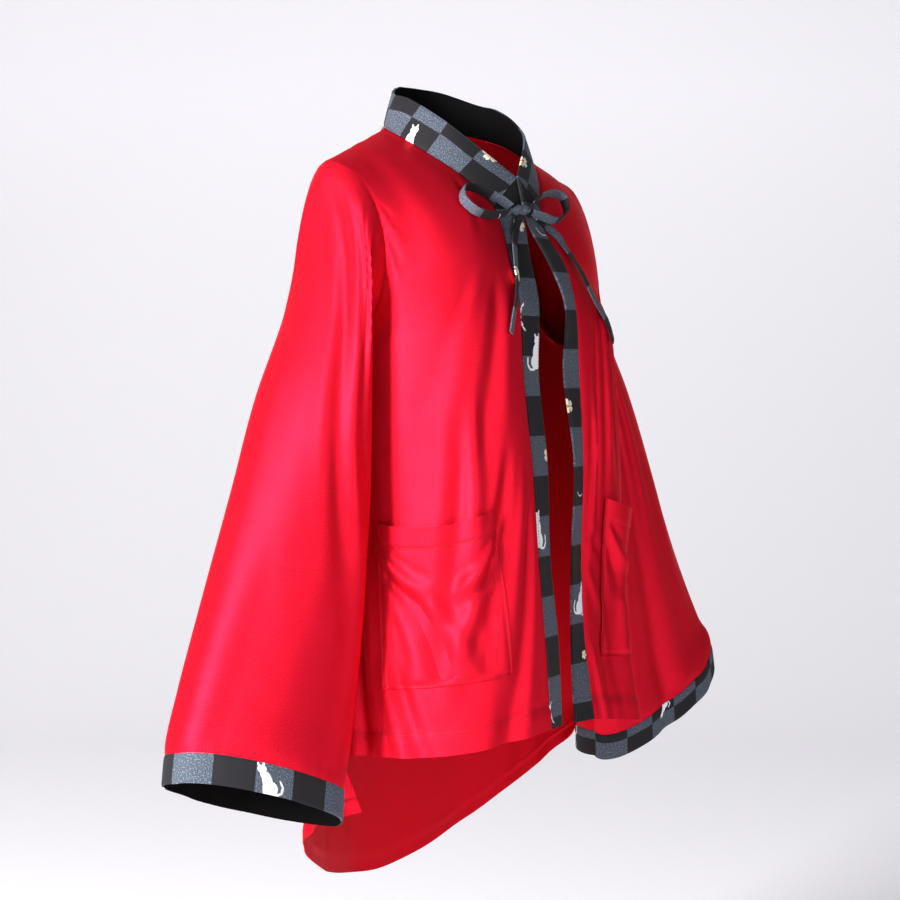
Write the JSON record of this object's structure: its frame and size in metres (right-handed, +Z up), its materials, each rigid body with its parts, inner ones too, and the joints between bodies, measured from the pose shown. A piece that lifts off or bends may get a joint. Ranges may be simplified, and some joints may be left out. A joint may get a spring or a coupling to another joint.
{
  "type": "haori",
  "caption": "Open, hollow-worn haori jacket with wide bell sleeves, stand collar, front bands, cuffs, patch pockets, a tied bow and a long rounded back.",
  "frame": {"origin": "middle of the neck at shoulder height, where the wearer's neck and shoulders carry it; it is the mount neck", "axes": "+Z up, -Y towards the wearer's front, +X towards the wearer's left"},
  "size_m": [0.754, 0.2933, 0.8129],
  "materials": {
    "back": "satin",
    "band_left": "matte",
    "band_right": "matte",
    "bow_end_left": "matte",
    "bow_end_right": "matte",
    "bow_knot": "matte",
    "bow_loop_left": "matte",
    "bow_loop_right": "matte",
    "collar": "matte",
    "cuff_left": "matte",
    "cuff_right": "matte",
    "front_left": "satin",
    "front_right": "satin",
    "pocket_left": "satin",
    "pocket_right": "satin",
    "sleeve_left": "satin",
    "sleeve_right": "satin"
  },
  "bodies": {
    "root": {"back": "back", "band_left": "band_left", "band_right": "band_right", "bow_end_left": "bow_end_left", "bow_end_right": "bow_end_right", "bow_knot": "bow_knot", "bow_loop_left": "bow_loop_left", "bow_loop_right": "bow_loop_right", "collar": "collar", "cuff_left": "cuff_left", "cuff_right": "cuff_right", "front_left": "front_left", "front_right": "front_right", "pocket_left": "pocket_left", "pocket_right": "pocket_right", "sleeve_left": "sleeve_left", "sleeve_right": "sleeve_right"}
  },
  "joints": []
}
